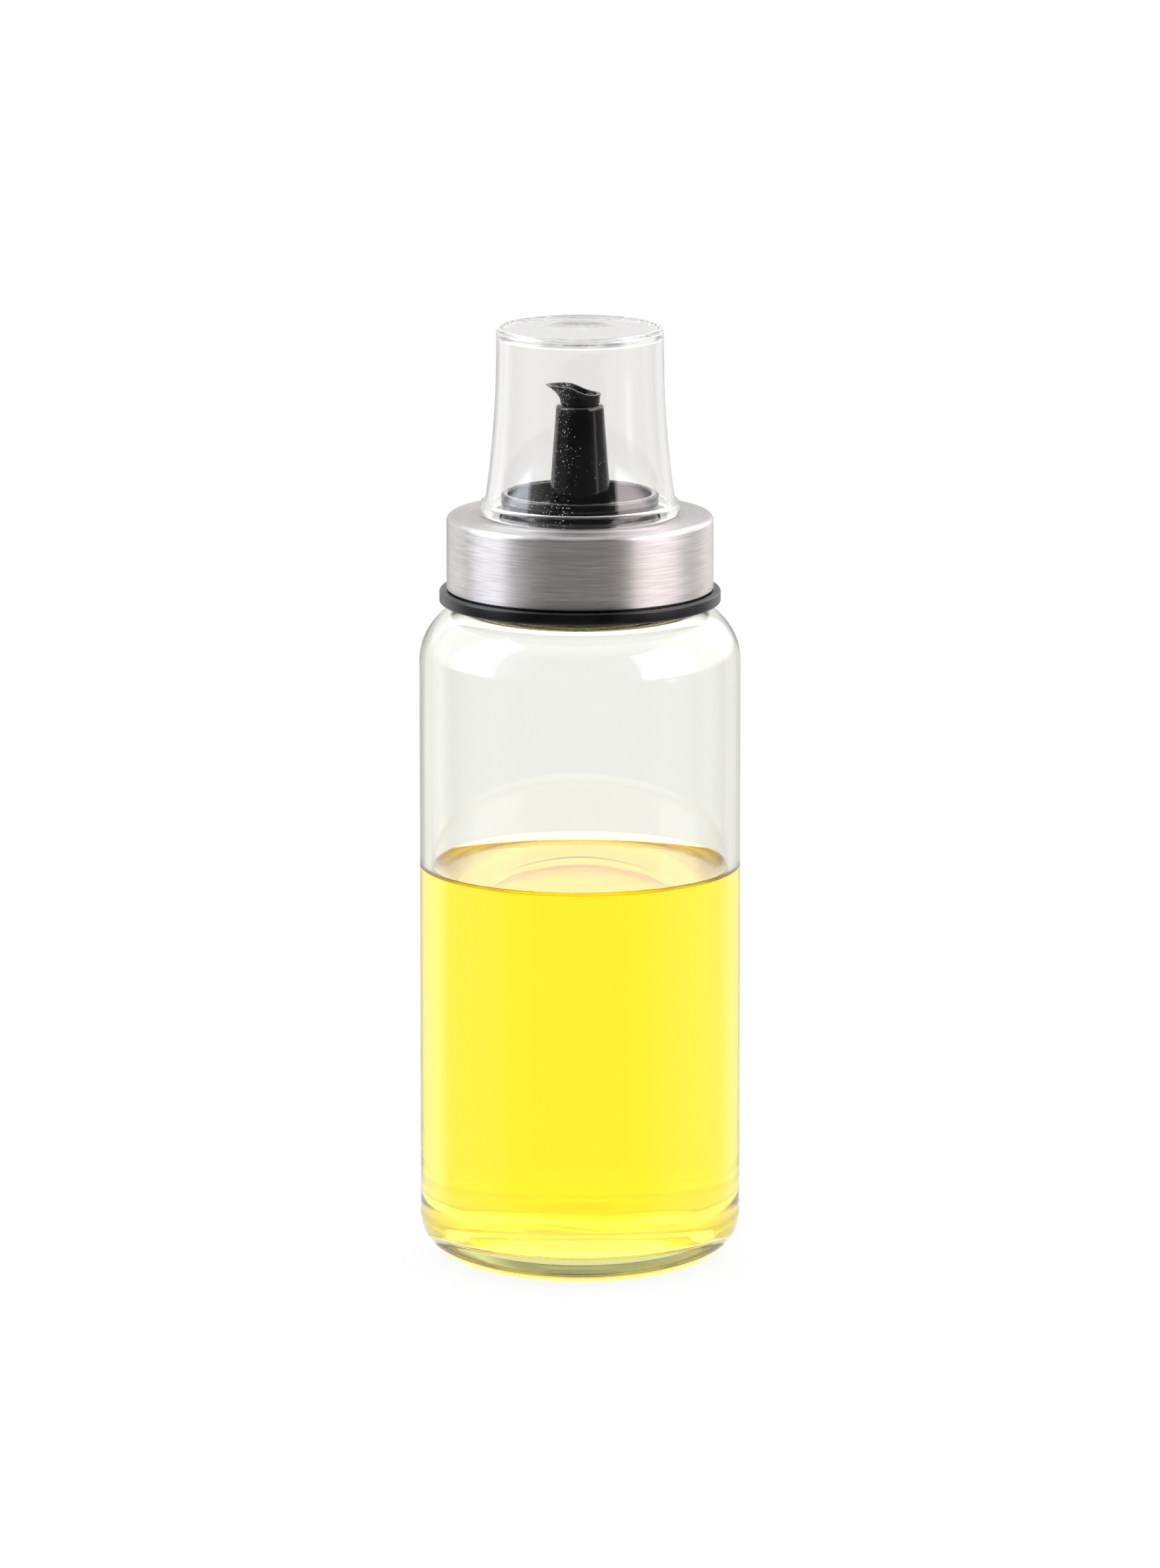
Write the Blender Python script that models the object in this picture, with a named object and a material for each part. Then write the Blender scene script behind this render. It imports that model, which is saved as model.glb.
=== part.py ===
"""Glass cooking-oil bottle with a screw-on pourer head and a clear dust cap.

The bottle is built from the pieces it comes apart into: glass, oil, gasket, screw closure,
steel collar, pourer insert, pour nozzle, air vent tube and dust cap.

Frame: the origin is the centre of the base, on the surface the bottle stands on. +Z is up and
the pouring lip points to -X. All lengths are in metres.
"""
import math

import bmesh
import bpy

MM = 0.001
GAP = 0.3 * MM
MERGE = 0.001 * MM

# Facets around a turned piece, and around the small round ones.
FACETS = 36
SMALL_FACETS = 24

# Glass body.
BODY_R = 31.25 * MM
WALL = 2.2 * MM
HEEL_WIDTH = 9.75 * MM
HEEL_HEIGHT = 9.3 * MM
CONTACT_WIDTH = 3.5 * MM
PUSH_UP = 1.5 * MM
FLOOR_Z = 6.3 * MM
FLOOR_CROWN = 0.4 * MM
INNER_HEEL_R = 5.8 * MM
SHOULDER_R = 12.0 * MM
SHOULDER_TOP_Z = 130.7 * MM

# Glass neck, and the rim that the gasket closes.
NECK_R = 21.6 * MM
NECK_BORE_R = 20.0 * MM
NECK_FILLET_R = 1.4 * MM
RIM_Z = 142.0 * MM
RIM_ROUND_R = 0.5 * MM

# Right-hand thread shared by the glass and the closure.
PITCH = 4.0 * MM
THREAD_TURNS = 1.25
THREAD_LOW_Z = 134.6 * MM
THREAD_CREST_R = 22.9 * MM
THREAD_ROOT_WIDTH = 2.0 * MM
THREAD_CREST_WIDTH = 1.0 * MM
THREAD_SINK = 0.4 * MM
THREAD_FADE_STEPS = 5
MATING_THREAD_CREST_R = 22.0 * MM
MATING_THREAD_DROP = 1.65 * MM

# Oil level.
OIL_TOP_Z = 77.5 * MM

# Black screw closure: skirt, thin bottom flange and top disc.
FLANGE_R = 27.3 * MM
FLANGE_BOTTOM_Z = 130.4 * MM
FLANGE_TOP_Z = 132.9 * MM
SKIRT_R = 25.15 * MM
SKIRT_BORE_R = 23.3 * MM
DISC_BOTTOM_Z = 145.0 * MM
DISC_TOP_Z = 146.75 * MM
HEAD_HOLE_R = 15.6 * MM
EDGE_BREAK = 0.3 * MM

# Steel collar, a thin drawn shell.
COLLAR_R = 25.9 * MM
COLLAR_WALL = 0.45 * MM
COLLAR_EDGE_R = 1.1 * MM
COLLAR_TOP_Z = DISC_TOP_Z + GAP + COLLAR_WALL

# Gasket between the rim of the glass and the pourer insert.
GASKET_R = 22.9 * MM
GASKET_BORE_R = 16.0 * MM
GASKET_THICKNESS = 1.0 * MM

# Pourer insert: flange, cup ring, floor and tapered spout cone.
INSERT_FLANGE_R = 22.9 * MM
INSERT_FLANGE_THICKNESS = 1.1 * MM
CUP_R = 15.2 * MM
CUP_WALL = 1.3 * MM
CUP_TOP_Z = 152.0 * MM
CUP_FLOOR_Z = 147.6 * MM
CUP_FLOOR_THICKNESS = 1.5 * MM
CUP_EDGE_R = 0.45 * MM
CONE_BASE_R = 6.2 * MM
CONE_TIP_R = 4.62 * MM
CONE_TOP_Z = 169.2 * MM
CONE_EDGE_R = 0.7 * MM
CONE_FILLET_R = 0.9 * MM
CONE_BORE_TIP_R = 3.55 * MM
CONE_BORE_BASE_R = 4.7 * MM
CONE_BORE_STRAIGHT = 3.0 * MM

# Pour nozzle: a core inside the cone, and the beak above it.
CORE_R = CONE_BORE_TIP_R - GAP
CORE_BOTTOM_Z = 154.0 * MM
BEAK_BOTTOM_Z = CONE_TOP_Z + GAP
BEAK_NECK_R = 3.8 * MM
BEAK_MOUTH_R = 4.0 * MM
BEAK_LIP_REACH = 6.65 * MM
BEAK_HIGH_Z = 173.0 * MM
BEAK_LOW_Z = 171.2 * MM
BEAK_DIP_X = -0.1 * MM
BEAK_DIP_WIDTH = 1.9 * MM
BEAK_WALL = 0.7 * MM
BEAK_FLOOR_Z = 170.5 * MM
BEAK_LIP_SHARPNESS = 5
BEAK_ROWS = 4
BEAK_FACETS = 32
POUR_BORE_R = 1.7 * MM
POUR_BORE_X = -1.1 * MM
VENT_BORE_R = 1.05 * MM
VENT_X = 1.85 * MM

# Air vent tube.
VENT_R = VENT_BORE_R - GAP
VENT_HOLE_R = 0.4 * MM
VENT_BOTTOM_Z = 147.0 * MM
VENT_TOP_Z = 171.2 * MM

# Dust cap: bell-shaped side, base flange and flat top.
CAP_FLANGE_R = 19.45 * MM
CAP_FLANGE_THICKNESS = 2.5 * MM
CAP_TOP_R = 16.2 * MM
CAP_FLARE = 2.3 * MM
CAP_FLARE_POWER = 2.2
CAP_TOP_Z = 184.2 * MM
CAP_WALL = 1.4 * MM
CAP_ROOF = 1.8 * MM
CAP_EDGE_R = 1.0 * MM
CAP_SIDE_ROWS = 7


def make_material(name, color, roughness, metallic=0.0, transmission=0.0, ior=1.5):
    """A Principled material with the piece's colour, gloss and clearness."""
    material = bpy.data.materials.new(name)
    material.use_nodes = True
    shader = material.node_tree.nodes["Principled BSDF"]
    shader.inputs["Base Color"].default_value = (*color, 1.0)
    shader.inputs["Roughness"].default_value = roughness
    shader.inputs["Metallic"].default_value = metallic
    shader.inputs["Transmission Weight"].default_value = transmission
    shader.inputs["IOR"].default_value = ior
    material.diffuse_color = (*color, 1.0)
    return material


def arc(center, radius_r, radius_z, start_deg, end_deg, steps):
    """Points (r, z) along an elliptical arc, both ends included."""
    points = []
    for step in range(steps + 1):
        angle = math.radians(start_deg + (end_deg - start_deg) * step / steps)
        r = center[0] + radius_r * math.cos(angle)
        z = center[1] + radius_z * math.sin(angle)
        points.append((r, z))
    return points


def make_object(name, bm, material):
    """Turn a finished bmesh into a named, smooth-shaded object."""
    bmesh.ops.remove_doubles(bm, verts=bm.verts, dist=MERGE)
    bmesh.ops.recalc_face_normals(bm, faces=bm.faces)
    mesh = bpy.data.meshes.new(name)
    bm.to_mesh(mesh)
    bm.free()
    mesh.shade_smooth()
    mesh.set_sharp_from_angle(angle=math.radians(35))
    if material is not None:
        mesh.materials.append(material)
    obj = bpy.data.objects.new(name, mesh)
    bpy.context.scene.collection.objects.link(obj)
    return obj


def turned(name, profile, material, facets=FACETS, center_x=0.0):
    """Spin an (r, z) outline about a vertical axis.

    An outline that starts and ends on the axis stays open there, and any other is a ring's
    section, which closes on itself.
    """
    bm = bmesh.new()
    verts = [bm.verts.new((center_x + r, 0.0, z)) for r, z in profile]
    edges = [bm.edges.new(pair) for pair in zip(verts, verts[1:])]
    if profile[0][0] > 0.0:
        edges.append(bm.edges.new((verts[-1], verts[0])))
    bmesh.ops.spin(
        bm, geom=verts + edges, cent=(center_x, 0.0, 0.0), axis=(0.0, 0.0, 1.0),
        angle=math.tau, steps=facets, use_merge=True)
    return make_object(name, bm, material)


def loft(name, rings, material):
    """Join rings of equal point count with quads, and close both ends."""
    bm = bmesh.new()
    rows = [[bm.verts.new(point) for point in ring] for ring in rings]
    count = len(rows[0])
    for low, high in zip(rows, rows[1:]):
        for i in range(count):
            j = (i + 1) % count
            bm.faces.new((low[i], low[j], high[j], high[i]))
    bm.faces.new(rows[0])
    bm.faces.new(rows[-1])
    return make_object(name, bm, material)


def thread_ridge(name, root_r, crest_r, low_z):
    """One right-hand thread ridge, whose two ends sink back into the wall that carries it.

    Its sections stand half a facet away from the wall's own edges, so that they cross cleanly.
    """
    steps = round(THREAD_TURNS * FACETS)
    rings = []
    for step in range(steps + 1):
        ends = min(step, steps - step) / THREAD_FADE_STEPS
        height = 0.15 + 0.85 * min(1.0, ends)
        crest = root_r + (crest_r - root_r) * height
        turn = (step + 0.5) / FACETS
        angle = math.tau * turn
        z = low_z + PITCH * turn
        section = (
            (root_r, -THREAD_ROOT_WIDTH / 2), (crest, -THREAD_CREST_WIDTH / 2),
            (crest, THREAD_CREST_WIDTH / 2), (root_r, THREAD_ROOT_WIDTH / 2))
        rings.append([
            (r * math.cos(angle), r * math.sin(angle), z + dz) for r, dz in section])
    return loft(name, rings, None)


def combine(obj, tool, operation):
    """Add or cut away a tool solid with a Boolean, and hide the tool."""
    tool.hide_render = True
    tool.display_type = "WIRE"
    modifier = obj.modifiers.new(tool.name, "BOOLEAN")
    modifier.operation = operation
    modifier.solver = "EXACT"
    modifier.object = tool


def inner_heel_center():
    """Centre of the arc between the inner wall and the floor of the glass."""
    return (BODY_R - WALL - INNER_HEEL_R, FLOOR_Z + INNER_HEEL_R)


def build_glass_bottle(material):
    heel_center = (BODY_R - HEEL_WIDTH, HEEL_HEIGHT)
    ring_r = heel_center[0] - CONTACT_WIDTH
    shoulder_center = (BODY_R - SHOULDER_R, SHOULDER_TOP_Z - SHOULDER_R)
    fillet_r = NECK_R + NECK_FILLET_R
    end_deg = math.degrees(math.acos((fillet_r - shoulder_center[0]) / SHOULDER_R))
    fillet_z = shoulder_center[1] + SHOULDER_R * math.sin(math.radians(end_deg))
    bore_shoulder = (NECK_BORE_R, shoulder_center[1])
    bore_shoulder_height = SHOULDER_R - WALL

    profile = [(0.0, PUSH_UP), (ring_r - 2 * MM, PUSH_UP * 0.8), (ring_r, 0.0)]
    profile += arc(heel_center, HEEL_WIDTH, HEEL_HEIGHT, -90, 0, 7)
    profile += arc(shoulder_center, SHOULDER_R, SHOULDER_R, 0, end_deg, 7)
    profile += arc((fillet_r, fillet_z + NECK_FILLET_R), NECK_FILLET_R, NECK_FILLET_R, 270, 180, 3)[1:]
    profile += arc((NECK_R - RIM_ROUND_R, RIM_Z - RIM_ROUND_R), RIM_ROUND_R, RIM_ROUND_R, 0, 90, 2)
    profile += arc((NECK_BORE_R + RIM_ROUND_R, RIM_Z - RIM_ROUND_R), RIM_ROUND_R, RIM_ROUND_R, 90, 180, 2)
    profile += arc(bore_shoulder, BODY_R - WALL - NECK_BORE_R, bore_shoulder_height, 90, 0, 5)
    profile += arc(inner_heel_center(), INNER_HEEL_R, INNER_HEEL_R, 0, -90, 5)
    profile += [(0.0, FLOOR_Z + FLOOR_CROWN)]

    bottle = turned("glass_bottle", profile, material)
    ridge = thread_ridge("neck_thread", NECK_R - THREAD_SINK, THREAD_CREST_R, THREAD_LOW_Z)
    combine(bottle, ridge, "UNION")


def build_oil_fill(material):
    radius = INNER_HEEL_R - GAP
    profile = [(0.0, FLOOR_Z + FLOOR_CROWN + GAP)]
    profile += arc(inner_heel_center(), radius, radius, -90, 0, 5)
    profile += [(BODY_R - WALL - GAP, OIL_TOP_Z), (0.0, OIL_TOP_Z)]
    turned("oil_fill", profile, material)


def build_sealing_gasket(material):
    low = RIM_Z + GAP
    high = low + GASKET_THICKNESS
    profile = [(GASKET_R, high), (GASKET_R, low), (GASKET_BORE_R, low), (GASKET_BORE_R, high)]
    turned("sealing_gasket", profile, material)


def build_screw_closure(material):
    profile = [
        (SKIRT_BORE_R + EDGE_BREAK, FLANGE_BOTTOM_Z),
        (FLANGE_R - EDGE_BREAK, FLANGE_BOTTOM_Z),
        (FLANGE_R, FLANGE_BOTTOM_Z + EDGE_BREAK),
        (FLANGE_R, FLANGE_TOP_Z - EDGE_BREAK),
        (FLANGE_R - EDGE_BREAK, FLANGE_TOP_Z),
        (SKIRT_R, FLANGE_TOP_Z),
    ]
    corner = (SKIRT_R - COLLAR_EDGE_R, DISC_TOP_Z - COLLAR_EDGE_R)
    profile += arc(corner, COLLAR_EDGE_R, COLLAR_EDGE_R, 0, 90, 3)
    profile += [
        (HEAD_HOLE_R, DISC_TOP_Z),
        (HEAD_HOLE_R, DISC_BOTTOM_Z),
        (SKIRT_BORE_R, DISC_BOTTOM_Z),
        (SKIRT_BORE_R, FLANGE_BOTTOM_Z + EDGE_BREAK),
    ]
    closure = turned("screw_closure", profile, material)
    ridge = thread_ridge(
        "closure_thread", SKIRT_BORE_R + THREAD_SINK, MATING_THREAD_CREST_R,
        THREAD_LOW_Z - MATING_THREAD_DROP)
    combine(closure, ridge, "UNION")


def build_steel_collar(material):
    bottom = FLANGE_TOP_Z + GAP
    corner = (COLLAR_R - COLLAR_EDGE_R, COLLAR_TOP_Z - COLLAR_EDGE_R)
    inner_edge_r = COLLAR_EDGE_R - COLLAR_WALL
    profile = [(COLLAR_R, bottom)]
    profile += arc(corner, COLLAR_EDGE_R, COLLAR_EDGE_R, 0, 90, 4)
    profile += [(HEAD_HOLE_R, COLLAR_TOP_Z), (HEAD_HOLE_R, COLLAR_TOP_Z - COLLAR_WALL)]
    profile += arc(corner, inner_edge_r, inner_edge_r, 90, 0, 3)
    profile += [(COLLAR_R - COLLAR_WALL, bottom)]
    turned("steel_collar", profile, material)


def cup_and_cone_top():
    """Outline over the cup rim, across the cup floor and up the outside of the cone."""
    rim = (CUP_R - CUP_EDGE_R, CUP_TOP_Z - CUP_EDGE_R)
    inner_rim = (CUP_R - CUP_WALL + CUP_EDGE_R, rim[1])
    taper = (CONE_BASE_R - CONE_TIP_R) / (CONE_TOP_Z - CUP_FLOOR_Z)
    foot = (CONE_BASE_R + CONE_FILLET_R, CUP_FLOOR_Z + CONE_FILLET_R)
    tip = (CONE_TIP_R - CONE_EDGE_R, CONE_TOP_Z - CONE_EDGE_R)
    outline = arc(rim, CUP_EDGE_R, CUP_EDGE_R, 0, 90, 2)
    outline += arc(inner_rim, CUP_EDGE_R, CUP_EDGE_R, 90, 180, 2)
    outline += [(CUP_R - CUP_WALL, CUP_FLOOR_Z)]
    outline += arc(foot, CONE_FILLET_R + taper * CONE_FILLET_R, CONE_FILLET_R, 270, 180, 3)
    outline += arc(tip, CONE_EDGE_R, CONE_EDGE_R, 0, 90, 3)
    return outline


def build_pourer_insert(material):
    flange_low = RIM_Z + GAP + GASKET_THICKNESS + GAP
    flange_high = flange_low + INSERT_FLANGE_THICKNESS
    hollow_r = CUP_R - CUP_WALL
    floor_low = CUP_FLOOR_Z - CUP_FLOOR_THICKNESS
    profile = [
        (hollow_r, flange_low),
        (INSERT_FLANGE_R, flange_low),
        (INSERT_FLANGE_R, flange_high),
        (CUP_R, flange_high),
    ]
    profile += cup_and_cone_top()
    profile += [
        (CONE_BORE_TIP_R, CONE_TOP_Z),
        (CONE_BORE_TIP_R, CONE_TOP_Z - CONE_BORE_STRAIGHT),
        (CONE_BORE_BASE_R, floor_low),
        (hollow_r, floor_low),
    ]
    turned("pourer_insert", profile, material)


def beak_rim_z(x):
    """Height of the beak's rim, high over the lip and low behind it."""
    blend = 0.5 + 0.5 * math.tanh((x - BEAK_DIP_X) / BEAK_DIP_WIDTH)
    return BEAK_HIGH_Z + (BEAK_LOW_Z - BEAK_HIGH_Z) * blend


def beak_ring(rise, wall, low_z, low_r):
    """One ring of the beak's outer (wall 0) or inner surface, from its neck to its rim."""
    ring = []
    for i in range(BEAK_FACETS):
        angle = math.tau * i / BEAK_FACETS
        lip = max(0.0, -math.cos(angle)) ** BEAK_LIP_SHARPNESS
        rim_r = BEAK_MOUTH_R + (BEAK_LIP_REACH - BEAK_MOUTH_R) * lip - wall
        rim_z = beak_rim_z(rim_r * math.cos(angle))
        r = low_r + (rim_r - low_r) * rise ** 2
        z = low_z + (rim_z - low_z) * rise
        ring.append((r * math.cos(angle), r * math.sin(angle), z))
    return ring


def round_ring(radius, z):
    """A level circle with as many points as the beak's rings."""
    angles = [math.tau * i / BEAK_FACETS for i in range(BEAK_FACETS)]
    return [(radius * math.cos(a), radius * math.sin(a), z) for a in angles]


def build_pour_nozzle(material):
    rises = [row / BEAK_ROWS for row in range(BEAK_ROWS + 1)]
    inner_r = BEAK_NECK_R - BEAK_WALL
    rings = [round_ring(CORE_R, CORE_BOTTOM_Z), round_ring(CORE_R, BEAK_BOTTOM_Z)]
    rings += [beak_ring(rise, 0.0, BEAK_BOTTOM_Z, BEAK_NECK_R) for rise in rises]
    rings += [beak_ring(rise, BEAK_WALL, BEAK_FLOOR_Z, inner_r) for rise in reversed(rises)]
    nozzle = loft("pour_nozzle", rings, material)

    bores = (("pour_bore", POUR_BORE_X, POUR_BORE_R), ("vent_bore", VENT_X, VENT_BORE_R))
    for name, x, radius in bores:
        low = CORE_BOTTOM_Z - 1 * MM
        high = BEAK_FLOOR_Z + 1 * MM
        outline = [(0.0, low), (radius, low), (radius, high), (0.0, high)]
        combine(nozzle, turned(name, outline, None, SMALL_FACETS, x), "DIFFERENCE")


def build_air_vent_tube(material):
    profile = [
        (VENT_R, VENT_TOP_Z), (VENT_R, VENT_BOTTOM_Z),
        (VENT_HOLE_R, VENT_BOTTOM_Z), (VENT_HOLE_R, VENT_TOP_Z),
    ]
    turned("air_vent_tube", profile, material, SMALL_FACETS, VENT_X)


def cap_side_r(z):
    """Outer radius of the dust cap's bell-shaped side."""
    straight_z = CAP_TOP_Z - CAP_EDGE_R
    foot_z = COLLAR_TOP_Z + GAP + CAP_FLANGE_THICKNESS
    return CAP_TOP_R + CAP_FLARE * ((straight_z - z) / (straight_z - foot_z)) ** CAP_FLARE_POWER


def build_dust_cap(material):
    bottom = COLLAR_TOP_Z + GAP
    foot_z = bottom + CAP_FLANGE_THICKNESS
    roof_z = CAP_TOP_Z - CAP_ROOF
    top_corner = (CAP_TOP_R - CAP_EDGE_R, CAP_TOP_Z - CAP_EDGE_R)
    roof_corner = (CAP_TOP_R - CAP_WALL - CAP_EDGE_R, roof_z - CAP_EDGE_R)
    side_span = top_corner[1] - foot_z
    bore_span = roof_corner[1] - foot_z

    profile = [(0.0, CAP_TOP_Z)]
    profile += arc(top_corner, CAP_EDGE_R, CAP_EDGE_R, 90, 0, 3)
    for row in range(1, CAP_SIDE_ROWS + 1):
        z = top_corner[1] - side_span * row / CAP_SIDE_ROWS
        profile.append((cap_side_r(z), z))
    profile += [
        (CAP_FLANGE_R - EDGE_BREAK, foot_z),
        (CAP_FLANGE_R, foot_z - EDGE_BREAK),
        (CAP_FLANGE_R, bottom + EDGE_BREAK),
        (CAP_FLANGE_R - EDGE_BREAK, bottom),
        (cap_side_r(foot_z) - CAP_WALL, bottom),
    ]
    for row in range(CAP_SIDE_ROWS):
        z = foot_z + bore_span * row / CAP_SIDE_ROWS
        profile.append((cap_side_r(z) - CAP_WALL, z))
    profile += arc(roof_corner, CAP_EDGE_R, CAP_EDGE_R, 0, 90, 3)
    profile += [(0.0, roof_z)]
    turned("dust_cap", profile, material)


def build_all():
    for obj in list(bpy.data.objects):
        bpy.data.objects.remove(obj, do_unlink=True)

    glass = make_material("clear_glass", (0.93, 0.96, 0.93), 0.02, transmission=1.0, ior=1.5)
    oil = make_material("yellow_oil", (1.0, 0.86, 0.03), 0.05, transmission=0.8, ior=1.47)
    seal = make_material("gasket_white", (0.86, 0.86, 0.84), 0.6)
    black = make_material("black_closure", (0.012, 0.012, 0.013), 0.35)
    steel = make_material("brushed_steel", (0.68, 0.67, 0.66), 0.3, metallic=1.0)
    spout = make_material("black_spout", (0.01, 0.01, 0.012), 0.22)
    beak = make_material("black_beak", (0.014, 0.014, 0.015), 0.4)
    vent = make_material("vent_black", (0.02, 0.02, 0.02), 0.4)
    clear = make_material("clear_plastic", (0.95, 0.95, 0.95), 0.04, transmission=1.0, ior=1.49)

    build_glass_bottle(glass)
    build_oil_fill(oil)
    build_sealing_gasket(seal)
    build_screw_closure(black)
    build_steel_collar(steel)
    build_pourer_insert(spout)
    build_pour_nozzle(beak)
    build_air_vent_tube(vent)
    build_dust_cap(clear)


build_all()
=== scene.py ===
"""Looks of the glass cooking-oil bottle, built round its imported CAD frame.

Each CAD node is stood for by a finely divided mesh of the same size with a procedural material.
Places and outer sizes come from the nodes' boxes, and the sections in between are named below.
The frame is the CAD's: metres, +Z up, the pouring lip to -X and the front to -Y.
"""

import math

import bmesh
import bpy
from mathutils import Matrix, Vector, noise


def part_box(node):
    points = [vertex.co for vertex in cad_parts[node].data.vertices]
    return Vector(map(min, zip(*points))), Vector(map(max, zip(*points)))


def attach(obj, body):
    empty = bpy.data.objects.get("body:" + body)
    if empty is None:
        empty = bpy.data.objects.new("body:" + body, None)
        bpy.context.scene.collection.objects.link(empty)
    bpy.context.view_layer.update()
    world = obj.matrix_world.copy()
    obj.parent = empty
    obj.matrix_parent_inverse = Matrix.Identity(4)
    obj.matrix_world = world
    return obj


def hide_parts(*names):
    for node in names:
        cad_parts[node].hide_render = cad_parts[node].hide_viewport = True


MM = 0.001

# Meshes: segments around a turned piece and around a narrow one, the row heights of straight
# stretches, the angle that stays sharp, and what counts as one point, on the axis or on a wall.
SEGMENTS = 180
TUBE_SEGMENTS = 40
LONG_ROW = 4.0 * MM
SHORT_ROW = 2.0 * MM
SHARP_DEG = 32
ONE_POINT = 0.0005 * MM
ON_AXIS = 0.001 * MM
ON_WALL = 0.01 * MM

# Camera, at the photograph's viewing angle: metres, radians down, and millimetres in the lens.
CAMERA_DISTANCE = 2.0
CAMERA_HEIGHT = 0.4996
CAMERA_PITCH = 0.2
CAMERA_LENS = 240.63
CAMERA_SENSOR = 36.0

# Glass body. Its inner wall wanders a little. The two curves, under the base and on the floor
# inside, are points as shares of a radius and of a rise.
WALL = 2.2 * MM
WALL_WAVE = 0.05 * MM
WAVES_AROUND = 2.2
WAVE_HEIGHT = 40.0 * MM
HEEL_WIDTH = 9.75 * MM
HEEL_HEIGHT = 9.3 * MM
CONTACT_WIDTH = 3.5 * MM
CONTACT_ROLL = 0.8 * MM
CONTACT_ROLL_RISE = 0.25
PUSH_UP = 1.5 * MM
PUSH_UP_CURVE = ((0.0, 1.0), (0.5, 0.95), (0.8, 0.75))
FLOOR_Z = 6.3 * MM
FLOOR_CROWN = 0.4 * MM
FLOOR_CURVE = ((0.0, 1.0), (0.2, 0.9), (0.4, 0.6))
INNER_HEEL_R = 5.8 * MM
SHOULDER_R = 12.0 * MM
SHOULDER_TOP_Z = 130.7 * MM
NECK_R = 21.6 * MM
NECK_BORE_R = 20.0 * MM
NECK_FILLET_R = 1.4 * MM
RIM_ROUND_R = 0.7 * MM

# Right-hand thread shared by the glass and the closure.
PITCH = 4.0 * MM
THREAD_TURNS = 1.25
THREAD_FADE_TURNS = 0.14
THREAD_LOW_Z = 134.6 * MM
THREAD_DEPTH = 1.3 * MM
THREAD_ROOT_HALF = 1.0 * MM
THREAD_CREST_HALF = 0.4 * MM
THREAD_ROW = 0.25 * MM
MATING_THREAD_DROP = 1.65 * MM

# Oil: it reaches a little way into the glass, so that no film of air shows between them, and
# climbs the wall in a meniscus, with rows that crowd towards the wall.
OIL_OVERLAP = 0.12 * MM
MENISCUS_RISE = 1.4 * MM
MENISCUS_LENGTH = 1.1 * MM
MENISCUS_SPAN = 5.0 * MENISCUS_LENGTH
MENISCUS_ROWS = 29
MENISCUS_CROWDING = 1.7
SURFACE_SHARES = (0.6, 0.3, 0.0)

# Sealing gasket.
GASKET_BORE_R = 16.0 * MM
GASKET_EDGE = 0.15 * MM

# Screw closure and steel collar.
FLANGE_TOP_Z = 132.9 * MM
SKIRT_R = 25.15 * MM
SKIRT_BORE_R = 23.3 * MM
DISC_THICKNESS = 1.75 * MM
THREADLESS_TOP = 1.0 * MM
HEAD_HOLE_R = 15.6 * MM
FLANGE_EDGE_R = 0.45 * MM
COLLAR_WALL = 0.45 * MM
COLLAR_EDGE_R = 1.1 * MM
COLLAR_LIP = 0.12 * MM

# Pourer insert.
CUP_R = 15.2 * MM
CUP_WALL = 1.3 * MM
CUP_TOP_Z = 152.0 * MM
CUP_FLOOR_Z = 147.6 * MM
CUP_FLOOR_THICKNESS = 1.5 * MM
CUP_EDGE_R = 0.45 * MM
INSERT_FLANGE_THICKNESS = 1.1 * MM
CONE_BASE_R = 6.2 * MM
CONE_TIP_R = 4.62 * MM
CONE_EDGE_R = 0.7 * MM
CONE_FILLET_R = 0.9 * MM
CONE_BORE_TIP_R = 3.55 * MM
CONE_BORE_BASE_R = 4.7 * MM
CONE_BORE_STRAIGHT = 3.0 * MM

# Pour nozzle and vent tube.
CORE_R = 3.25 * MM
BEAK_GAP = 0.3 * MM
BEAK_NECK_R = 3.8 * MM
BEAK_MOUTH_R = 4.0 * MM
BEAK_FALL = 1.8 * MM
BEAK_DIP_X = -0.1 * MM
BEAK_DIP_WIDTH = 1.9 * MM
BEAK_WALL = 0.7 * MM
BEAK_FLOOR_Z = 170.5 * MM
BEAK_LIP_SHARPNESS = 5
BEAK_ROWS = 12
BEAK_FACETS = 96
POUR_BORE_R = 1.7 * MM
POUR_BORE_X = -1.1 * MM
BORE_OVERRUN = 1.0 * MM
VENT_BORE_R = 1.05 * MM
VENT_HOLE_R = 0.4 * MM
VENT_EDGE = 0.08 * MM

# Dust cap.
CAP_FLANGE_THICKNESS = 2.5 * MM
CAP_TOP_R = 16.2 * MM
CAP_FLARE = 2.3 * MM
CAP_FLARE_POWER = 2.2
CAP_WALL = 1.4 * MM
CAP_ROOF = 1.8 * MM
CAP_EDGE_R = 1.0 * MM
CAP_FOOT_EDGE_R = 0.65 * MM
ROOF_CORNER_R = 0.4 * MM
CAP_SIDE_ROWS = 40
GATE_RING_R = 1.6 * MM
GATE_RING_WIDTH = 0.35 * MM
GATE_RING_DEPTH = 0.15 * MM
GATE_RING_ROWS = 6

# Brushed steel: the strokes' pattern is read round a circle this small, so they run round the
# axis. Its darkest and lightest colour.
STROKE_R = 0.8 * MM
STEEL_DARK = (0.53, 0.50, 0.485)
STEEL_LIGHT = (0.69, 0.66, 0.645)

# Black plastic: how much lighter its light patches are than its dark ones.
BLACK_MOTTLE = 1.8

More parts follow.
